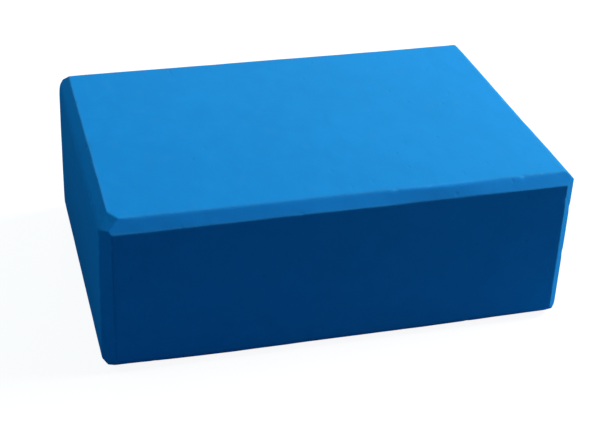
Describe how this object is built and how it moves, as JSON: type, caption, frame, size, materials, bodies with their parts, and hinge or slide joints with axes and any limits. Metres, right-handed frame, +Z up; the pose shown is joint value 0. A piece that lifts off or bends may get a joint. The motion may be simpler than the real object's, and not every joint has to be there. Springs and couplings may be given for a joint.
{
  "type": "foam block",
  "caption": "Solid rectangular foam block with a flat chamfer along every edge, used as a prop, support or spacer.",
  "frame": {"origin": "centre of the underside, on the surface that the block rests on", "axes": "+X along the length, +Y across the width towards the back, +Z up through the height"},
  "size_m": [0.225, 0.155, 0.08],
  "materials": {
    "blue_foam": "matt closed-cell foam with a fine pitted skin"
  },
  "bodies": {
    "root": {"foam_block": "blue_foam"}
  },
  "joints": []
}
